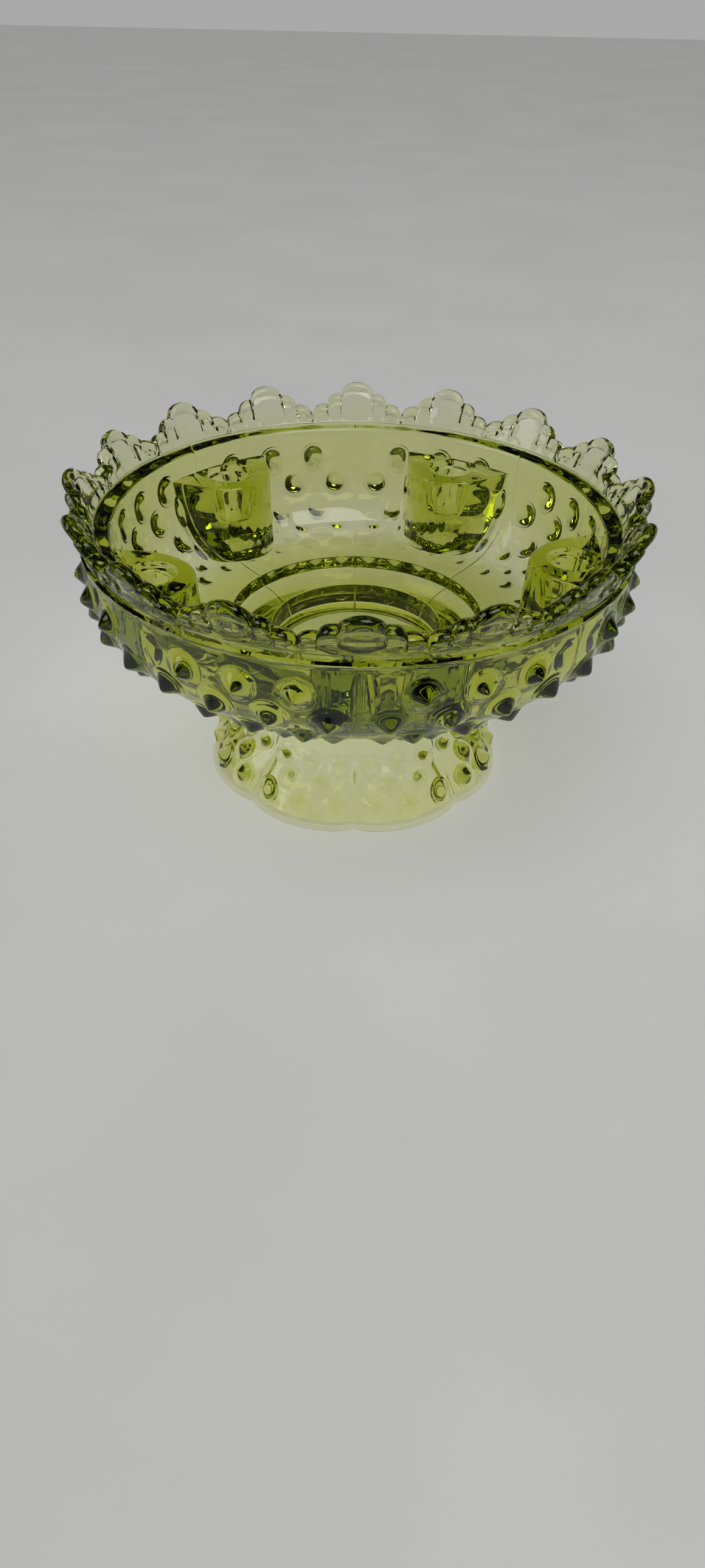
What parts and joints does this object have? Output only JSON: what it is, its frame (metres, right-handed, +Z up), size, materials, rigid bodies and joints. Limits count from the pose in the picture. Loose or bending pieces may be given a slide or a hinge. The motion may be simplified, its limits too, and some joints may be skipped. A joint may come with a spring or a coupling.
{
  "type": "candle bowl",
  "caption": "Round footed pressed-glass bowl with a hobnail outside, a scalloped rim, taper-candle sockets standing inside against the wall, and a lobed hollow foot.",
  "frame": {"origin": "centre of the flat ring the foot stands on", "axes": "+Z up the bowl's axis; -Y is the front, towards the scallop that faces the viewer; +X is the viewer's right"},
  "size_m": [0.1634, 0.1634, 0.0915],
  "materials": {
    "glass": "fire-polished clear olive-green pressed glass"
  },
  "bodies": {
    "root": {"foot": "glass", "stem": "glass", "bowl_floor": "glass", "bowl_wall": "glass", "rim_band": "glass", "scallop_01": "glass", "scallop_02": "glass", "scallop_03": "glass", "scallop_04": "glass", "scallop_05": "glass", "scallop_06": "glass", "scallop_07": "glass", "scallop_08": "glass", "scallop_09": "glass", "scallop_10": "glass", "scallop_11": "glass", "scallop_12": "glass", "scallop_13": "glass", "scallop_14": "glass", "scallop_15": "glass", "scallop_16": "glass", "candle_cup_1": "glass", "candle_cup_2": "glass", "candle_cup_3": "glass", "candle_cup_4": "glass", "candle_cup_5": "glass"}
  },
  "joints": []
}
